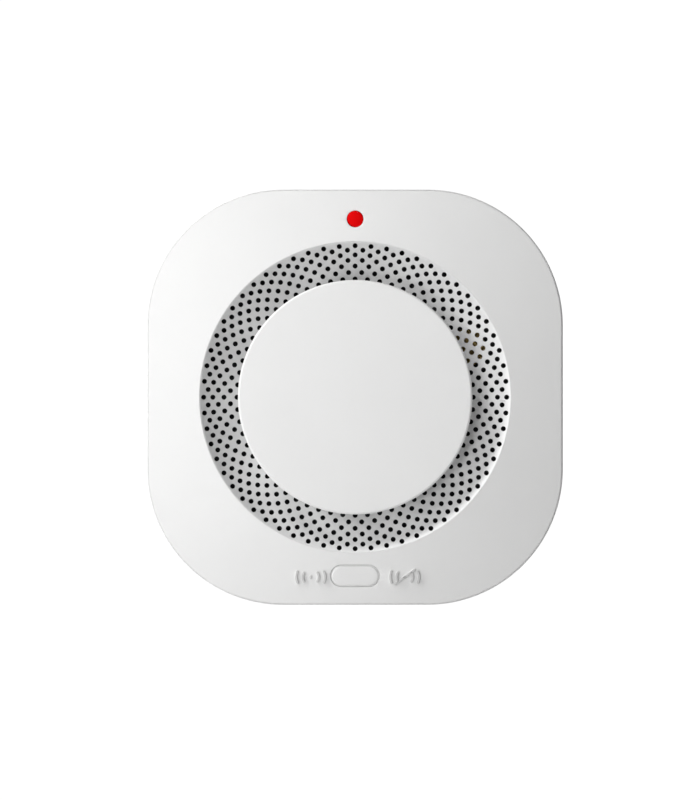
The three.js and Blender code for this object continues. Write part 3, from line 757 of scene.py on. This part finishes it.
def test_button():
    skirt, soft, raised = BUTTON_GAP - 0.06, 0.16, -0.08
    flange_top = face_z(BUTTON_FLANGE_R) - WALL - GAP
    flange_low = flange_top - FLANGE_WALL
    flange = stadium(0, BUTTON_Y, *BUTTON_FLANGE, 24)
    levels = [(flange, flange_low), (flange, flange_top), (key_outline(-skirt), flange_top)]
    levels += [(key_outline(-skirt), on_face(BUTTON_STEP)), (key_outline(0), on_face(BUTTON_STEP))]
    levels += [(key_outline(inset), on_face(drop + raised)) for inset, drop in fillet(soft, 4)]
    levels += [(key_outline(inset), on_face(raised)) for inset in (0.8, 1.4, 2.0)]
    form = Form()
    loops = form.stack(levels)
    form.lid(loops[0])
    form.fill([key_outline(2.0)], on_face(raised), [(x / 2, BUTTON_Y) for x in range(-5, 6)])
    stem, tip, low = 1.8, 1.6, BUTTON_LOW.z
    section = [(0, flange_low), (stem, flange_low), (stem, low + 0.2), (tip, low), (0, low)]
    form.turned(section, 32, 0, BUTTON_Y)
    thing = make("test_key", form)
    place(thing, ["test_button"], "button", finish_of("white_button"))


def indicator():
    top = face_z(LENS_Y) + 0.1
    turns = [math.radians(d) for d in range(0, 90, 10)]
    dome = [(LENS_R * math.cos(a), top - LENS_DOME * (1 - math.sin(a))) for a in turns]
    flange = LENS_HIGH.x
    flange_top = face_z(LENS_Y + LENS_R) - WALL - GAP
    section = [
        (0, LENS_LOW.z),
        (LENS_R - 0.2, LENS_LOW.z),
        (LENS_R, LENS_LOW.z + 0.2),
        (LENS_R, flange_top - FLANGE_WALL),
        (flange, flange_top - FLANGE_WALL),
        (flange, flange_top),
        (LENS_R, flange_top),
        *dome,
        (0, top),
    ]
    form = Form()
    form.turned(section, 64, 0, LENS_Y)
    place(make("light_pipe", form), ["indicator_lens"], "detector", finish_of("red_lens"))


MARK_WIDTH, MARK_HEIGHT = 0.58, 0.5
MARK_SECTION = [(1, -0.1), (1, 0.75), (0.8, 1), (-0.8, 1), (-1, 0.75), (-1, -0.1)]  # of half width and height
MARKS_X, MARKS_BELOW = (-10.7, 11.9), 0.3  # the two marks, and how far below the button's middle they are


def raised_stroke(form, points, width=MARK_WIDTH):
    """A rib with rounded ends along a line of points on the face."""
    n = len(points)
    sections = []
    for i, (x, y) in enumerate(points):
        (ax, ay), (bx, by) = points[max(i - 1, 0)], points[min(i + 1, n - 1)]
        length = math.hypot(bx - ax, by - ay)
        nx, ny = (ay - by) / length, (bx - ax) / length
        from_end = min(math.dist((x, y), points[0]), math.dist((x, y), points[-1]))
        t = min(1.0, from_end / (width / 2))
        half = width / 2 * math.sqrt(max(0.02, 1 - (1 - t) ** 2))
        row = []
        for side, height in MARK_SECTION:
            px, py = x + nx * half * side, y + ny * half * side
            row.append((px, py, face_z(math.hypot(px, py)) + MARK_HEIGHT * height))
        start = len(form.points)
        form.points += row
        sections.append(range(start, start + len(row)))
    for a, b in zip(sections, sections[1:]):
        form.band(a, b)
    form.lid(sections[0])
    form.lid(sections[-1])


def wave_mark(form, x, y):
    """A dot between two pairs of sound waves."""
    for radius in (1.95, 3.45):
        swing = math.degrees(math.asin(1.6 / max(radius, 2.4)))
        for facing in (0, 180):
            raised_stroke(form, arc(x, y, radius, facing - swing, facing + swing, 18))
    raised_stroke(form, [(x - 0.32 + 0.064 * i, y) for i in range(11)], 0.8)


def raised_marks():
    """Sound waves left of the button, and the same struck through right of it."""
    form = Form()
    y = BUTTON_Y - MARKS_BELOW
    left, right = MARKS_X
    wave_mark(form, left, y)
    wave_mark(form, right, y)
    raised_stroke(form, [(right - 2.6 + 0.13 * i, y - 1.9 + 0.095 * i) for i in range(41)])
    thing = make("raised_marks", form)
    smooth(thing.data, 50)
    # The marks' grey finish is painted shade for the shadows of the raised strokes.
    thing.data.materials.append(MARK_SHADE_FINISH.material)
    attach(thing, "detector")


front_cover()
intake_ring()
centre_cap()
test_button()
indicator()
raised_marks()

# ---- rear case ----

CORNERS = [(sx * CASE_SCREW, sy * CASE_SCREW) for sx in (-1, 1) for sy in (-1, 1)]
DOOR_INNER, DOOR_HALF, DOOR_TOP = DOOR_HIGH.x, 25.7, 5.7
LIP_HALF, LIP_TOP = 11.0, 14.0
TONGUE, GROOVE = 1.5, (4.6, 6.0)  # the door's tongues, and the back and front of the grooves they run in
RAIL_WIDTH, RAIL_DEPTH = 3.5, 1.9
GRIP_ROWS, GRIP_Y, GRIP_HALF, GRIP_HEIGHT, GRIP_PROUD = (6.4, 8.6, 10.8), (5.9, -4.6), 0.65, 1.4, 0.55
BAY_OUTSIDE = (-43.2, -17.4, -27.2, 27.2, DOOR_TOP + GAP, 18.2)
BAY_INSIDE = (-42, -18.6, -26, 26, 0, 17)
BOARD_POSTS, BOARD_POST_R = [(18, 40), (18, -40)], 2.8
SIREN_SEAT = (27, 12, 7)  # x, y and radius
RIM_INNER, RIM_STEP, RIM_REACH = 3.2, 0.3, 1.6  # the rim inside the seam that locates the cover
STUD_NECK, STUD_HEAD, STUD_BACK, STUD_FRONT = 1.8, 3.6, 0.25, 1.3
SCREW_BORE = [(0, 2.9), (4.7, 2.9), (3.3, 4.3), (3.3, 14), (1.8, 14), (1.8, 20), (0, 20)]
FLOOR_IN = BACK_Z + WALL
BOARD_BACK = BOARD_LOW.z
WIDE = BODY_HALF + 1  # past the side of the body
ROOT = 0.2  # how far an added solid reaches into what it stands on


def body_solid(top):
    """The outside of the body from its filleted back up to a height."""
    form = Form()
    levels = [(body_outline(inset), BACK_Z + drop) for inset, drop in reversed(fillet(BACK_FILLET, 5))]
    levels += [(body_outline(), top - BREAK), (body_outline(BREAK), top)]
    loops = form.stack(levels)
    form.lid(loops[0])
    form.lid(loops[-1])
    return form


def cylinder(form, x, y, radius, z0, z1, soft=0.0):
    form.rod([(0, z0), (radius, z0), (radius, z1 - soft), (radius - soft, z1), (0, z1)], x, y)


def rear_case():
    thing = make("case_shell", body_solid(SEAM_BACK))
    hollow = Form().prism(body_outline(WALL), FLOOR_IN, SEAM_BACK + 1)
    combine(thing, "DIFFERENCE", hollow)

    rim = Form()
    low, high, step = SEAM_BACK - 2, SEAM_BACK + RIM_REACH, SEAM_BACK - 0.05
    levels = [(RIM_INNER, low), (WALL - ROOT, low), (WALL - ROOT, step), (WALL + RIM_STEP, step)]
    levels += [(WALL + RIM_STEP, high), (RIM_INNER, high), (RIM_INNER, low)]
    rim.stack([(body_outline(inset), z) for inset, z in levels])
    combine(thing, "UNION", rim)

    added = Form()
    for x, y in CORNERS:
        cylinder(added, x, y, 5, FLOOR_IN - ROOT, BOARD_BACK - GAP)
    for x, y in BOARD_POSTS:
        cylinder(added, x, y, BOARD_POST_R, FLOOR_IN - ROOT, BOARD_BACK - GAP)
    cylinder(added, *SIREN_SEAT, FLOOR_IN - ROOT, 6.7)
    stud = [(0, STUD_BACK), (STUD_HEAD - 0.25, STUD_BACK), (STUD_HEAD, STUD_BACK + 0.25)]
    stud += [(STUD_HEAD, STUD_FRONT), (STUD_NECK, STUD_FRONT), (STUD_NECK, BACK_Z + ROOT), (0, BACK_Z + ROOT)]
    for angle in STUD_ANGLES:
        added.rod(stud, *on_circle(STUD_R, angle))
    for side in (-1, 1):
        near, far = side * (DOOR_HALF + GAP), side * (DOOR_HALF + GAP + RAIL_WIDTH)
        rail = (min(near, far), max(near, far), FLOOR_IN - ROOT, GROOVE[1] + RAIL_DEPTH)
        added.block(-46.5, DOOR_INNER + 3, *rail)
    combine(thing, "UNION", added)
    combine(thing, "UNION", Form().block(*BAY_OUTSIDE))
    combine(thing, "DIFFERENCE", Form().block(*BAY_INSIDE))

    inner = DOOR_INNER + GAP
    door_half, lip_half = DOOR_HALF + GAP, LIP_HALF + GAP
    combine(thing, "DIFFERENCE", Form().block(-WIDE, inner, -door_half, door_half, 0, DOOR_TOP + GAP))
    groove_half = DOOR_HALF + TONGUE + GAP
    combine(thing, "DIFFERENCE", Form().block(-WIDE, inner, -groove_half, groove_half, *GROOVE))
    notch = Form().block(-WIDE, -BODY_HALF + WALL + 1, -lip_half, lip_half, 0, LIP_TOP + GAP)
    combine(thing, "DIFFERENCE", notch)
    bores = Form()
    for x, y in CORNERS:
        bores.rod(SCREW_BORE, x, y)
    combine(thing, "DIFFERENCE", bores)
    place(thing, ["rear_case"], "detector", finish_of("white_shell"))


# ---- battery door ----


def battery_door():
    thing = make("door_shell", Form().block(-WIDE, DOOR_INNER, -DOOR_HALF, DOOR_HALF, 0, DOOR_TOP))
    half = DOOR_HALF + TONGUE
    tongues = Form().block(-WIDE, DOOR_INNER - 0.01, -half, half, GROOVE[0] + GAP, DOOR_TOP - 0.01)
    combine(thing, "UNION", tongues)
    lip = Form().block(-WIDE, -BODY_HALF + WALL - 0.2, -LIP_HALF, LIP_HALF, BACK_Z, LIP_TOP)
    combine(thing, "UNION", lip)
    combine(thing, "INTERSECT", body_solid(SEAM_BACK))
    grips = Form()
    for y in GRIP_Y:
        for row in GRIP_ROWS:
            sides = (y - GRIP_HALF, y + GRIP_HALF, row, row + GRIP_HEIGHT)
            grips.block(-BODY_HALF - GRIP_PROUD, -BODY_HALF + 1, *sides)
    combine(thing, "UNION", grips)
    round_edges(thing, 0.15)
    place(thing, ["battery_door"], "battery_door", finish_of("white_shell"))


# ---- wall bracket ----

PLATE_BACK = 1.6  # the plate's own back, behind which only the rim, boss and pads reach the wall
SCREW_SLOTS = [(25, 9.6, 4.6), (-25, 4.6, 9.6)]  # y, width and height
PAD_MARGIN = 3.2
RIB_HALF, RIB_BACK = 0.8, 0.6
ENTRY_R, WAY_HALF = 4.0, 2.1  # the keyholes' wide and narrow parts


def mounting_bracket():
    r, front, soft = BRACKET_HIGH.x, BRACKET_HIGH.z, 0.3
    section = [(0, PLATE_BACK), (r - 1.8, PLATE_BACK), (r - 1.8, soft), (r - 1.5, 0), (r - soft, 0)]
    section += [(r, soft), (r, front - soft), (r - soft, front), (0, front)]
    thing = make("bracket_plate", Form().rod(section, steps=TURN))
    added = Form()
    cylinder(added, 0, 0, 9, 0, PLATE_BACK + ROOT)
    for y, w, h in SCREW_SLOTS:
        added.prism(stadium(0, y, w + PAD_MARGIN, h + PAD_MARGIN), 0, PLATE_BACK + ROOT)
    combine(thing, "UNION", added)
    for angle in (-45, 45):
        c, s = on_circle(r - 1, angle)
        nx, ny = on_circle(RIB_HALF, angle + 90)
        bar = [(c + nx, s + ny), (-c + nx, -s + ny), (-c - nx, -s - ny), (c - nx, s - ny)]
        combine(thing, "UNION", Form().prism(bar, RIB_BACK, PLATE_BACK + ROOT))
    entries, ways = Form(), Form()
    for angle in STUD_ANGLES:
        cylinder(entries, *on_circle(STUD_R, angle + TWIST), ENTRY_R, -1, front + 1)
        ways.prism(key_slot(STUD_R, WAY_HALF, angle, angle + TWIST), -1, front + 1)
    for y, w, h in SCREW_SLOTS:
        ways.prism(stadium(0, y, w, h), -1, front + 1)
    combine(thing, "DIFFERENCE", entries)
    combine(thing, "DIFFERENCE", ways)
    round_edges(thing, 0.12)
    place(thing, ["mounting_bracket"], "bracket", finish_of("white_bracket"))


# ---- cells ----


def cell(node):
    """A cell standing along the case's height, its jacket rolled over both ends."""
    low, high = face_box(node)
    middle = (low + high) / 2
    radius = (high.x - low.x) / 2
    length = high.y - low.y
    nub_up = high.y > -low.y
    can, roll, face = length - 1.0, radius - 1.1, radius - 1.3
    section = [(0, 0), (face, 0), (roll, 0.15), (radius - 0.5, 0.15), (radius, 0.6)]
    section += [(radius, can - 0.6), (radius - 0.5, can - 0.1), (roll, can - 0.1), (face, can - 0.4)]
    section += [(2.3, can - 0.4), (2.0, can - 0.2), (1.9, length - 0.2), (1.7, length), (0, length)]
    form = Form()
    form.rod(section, steps=64)
    side = 1 if nub_up else -1
    start = low.y if nub_up else high.y
    form.points = [(middle.x + x, start + side * z, middle.z + y) for x, y, z in form.points]
    place(make(f"{node}_can", form), [node], "detector", finish_of("cell_jacket"), 40)


rear_case()
battery_door()
mounting_bracket()
cell("battery_1")
cell("battery_2")

# ---- the inner pieces keep the CAD's shape, with their moulded or stamped edges rounded ----

SLOT_OF = {part["node"]: part["material_slot"] for part in frame["record"]["subparts"]}
BODY_OF = {node: thing["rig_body"] for node, thing in frame["nodes"].items()}
EDGE_WIDTHS = {
    "tact_switch": 0.2,
    "switch_actuator": 0.2,
    "main_board": 0.12,
    "microcontroller": 0.15,
    "siren_coil": 0.2,
    "storage_capacitor": 0.25,
    "chamber_base": 0.2,
    "chamber_labyrinth": 0.15,
    "siren_case": 0.3,
    "contact_bridge": 0.08,
    "contact_plate_negative": 0.08,
    "contact_plate_positive": 0.08,
    "case_screw_1": 0.15,
    "case_screw_2": 0.15,
    "case_screw_3": 0.15,
    "case_screw_4": 0.15,
    "board_screw_1": 0.12,
    "board_screw_2": 0.12,
}


def refine(node, width):
    """A copy of a CAD node with its edges rounded, which takes the node's place."""
    source = frame["nodes"][node]
    thing = bpy.data.objects.new(f"{node}_rounded", source.data.copy())
    bpy.context.scene.collection.objects.link(thing)
    thing.matrix_world = source.matrix_world
    round_edges(thing, width)
    place(thing, [node], BODY_OF[node], finish_of(SLOT_OF[node]))


for node, thing in frame["nodes"].items():
    if node in EDGE_WIDTHS:
        refine(node, EDGE_WIDTHS[node])
    thing.data.materials.clear()
    thing.data.materials.append(finish_of(SLOT_OF[node]))

# ---- camera, light and floor ----

CAMERA_DISTANCE = 5.0
FRAME_HEIGHT = 0.1925  # metres across the picture's long side at the face
SENSOR = 36.0
OFF_CENTRE = (-1.24 * MM, -0.67 * MM)  # the object sits a little right of and above the middle
SKY_STRENGTH = 0.115  # on the object
BACKGROUND_STRENGTH = 1.05  # where the camera sees past it


def camera():
    data = bpy.data.cameras.new("camera")
    data.sensor_width = SENSOR
    data.lens = SENSOR * CAMERA_DISTANCE / FRAME_HEIGHT
    data.clip_end = 20
    thing = bpy.data.objects.new("camera", data)
    bpy.context.scene.collection.objects.link(thing)
    thing.location = (OFF_CENTRE[0], -CAMERA_DISTANCE - RIM_Z * MM, OFF_CENTRE[1])
    thing.rotation_euler = (math.radians(90), 0, 0)
    bpy.context.scene.camera = thing


def area_light(name, off_axis, around, power, size=0.4, distance=1.5):
    """A soft square light that faces the object.

    off_axis is its angle from straight in front, and around turns it about that, from the right over the top.
    """
    data = bpy.data.lights.new(name, "AREA")
    data.size = size
    data.energy = power
    a, t = math.radians(off_axis), math.radians(around)
    thing = bpy.data.objects.new(name, data)
    bpy.context.scene.collection.objects.link(thing)
    away = Vector((math.sin(a) * math.cos(t), -math.cos(a), math.sin(a) * math.sin(t)))
    thing.location = away * distance
    thing.rotation_euler = away.to_track_quat("Z", "Y").to_euler()
    thing.visible_camera = False


def studio():
    scene = bpy.context.scene
    scene.view_settings.view_transform = "Standard"
    world = bpy.data.worlds.new("studio")
    scene.world = world
    world.use_nodes = True
    tree = world.node_tree
    sky = tree.nodes["Background"]
    sky.inputs["Color"].default_value = (1, 1, 1, 1)
    sky.inputs["Strength"].default_value = SKY_STRENGTH
    path = tree.nodes.new("ShaderNodeLightPath")
    white = tree.nodes.new("ShaderNodeBackground")
    white.inputs["Color"].default_value = (1, 1, 1, 1)
    white.inputs["Strength"].default_value = BACKGROUND_STRENGTH
    mix = tree.nodes.new("ShaderNodeMixShader")
    tree.links.new(path.outputs["Is Camera Ray"], mix.inputs[0])
    tree.links.new(sky.outputs[0], mix.inputs[1])
    tree.links.new(white.outputs[0], mix.inputs[2])
    tree.links.new(mix.outputs[0], tree.nodes["World Output"].inputs["Surface"])

    area_light("front", 14, 150, 2.59)
    area_light("front_lower", 26, 210, 4.70)
    area_light("front_upper", 38, 150, 2.69)
    area_light("key_left", 70, 180, 2.69)
    area_light("key_upper_left", 70, 150, 6.53)
    area_light("key_top", 70, 120, 9.12)
    area_light("behind", 150, 120, 5.00)


FLOOR_Z = -0.17
FLOOR_R = 0.75


def floor():
    """A pale disc that fades into the white around it."""
    form = Form()
    form.prism(circle(0, 0, FLOOR_R / MM, 96), -2, 0)
    mesh = bpy.data.meshes.new("floor")
    mesh.from_pydata([(x * MM, y * MM, z * MM + FLOOR_Z) for x, y, z in form.points], [], form.faces)
    thing = bpy.data.objects.new("floor", mesh)
    bpy.context.scene.collection.objects.link(thing)
    paper = Finish("floor_paper", (0.86, 0.86, 0.86), 0.8)
    paper.tint(paper.spread(paper.noise(60), 0, 1), (0.84, 0.84, 0.84))
    tree = paper.tree
    ball = paper.node("ShaderNodeMapping", Scale=(1 / FLOOR_R, 1 / FLOOR_R, 0))
    paper.link(paper.place, ball.inputs["Vector"])
    gradient = paper.node("ShaderNodeTexGradient")
    gradient.gradient_type = "SPHERICAL"
    paper.link(ball.outputs["Vector"], gradient.inputs["Vector"])
    shown = paper.spread(gradient.outputs["Fac"], 0, 1, 0.02, 0.5)
    clear = tree.nodes.new("ShaderNodeBsdfTransparent")
    mix = tree.nodes.new("ShaderNodeMixShader")
    paper.link(shown, mix.inputs[0])
    paper.link(clear.outputs[0], mix.inputs[1])
    paper.link(paper.shader.outputs[0], mix.inputs[2])
    paper.link(mix.outputs[0], tree.nodes["Material Output"].inputs["Surface"])
    mesh.materials.append(paper.material)


camera()
studio()
floor()
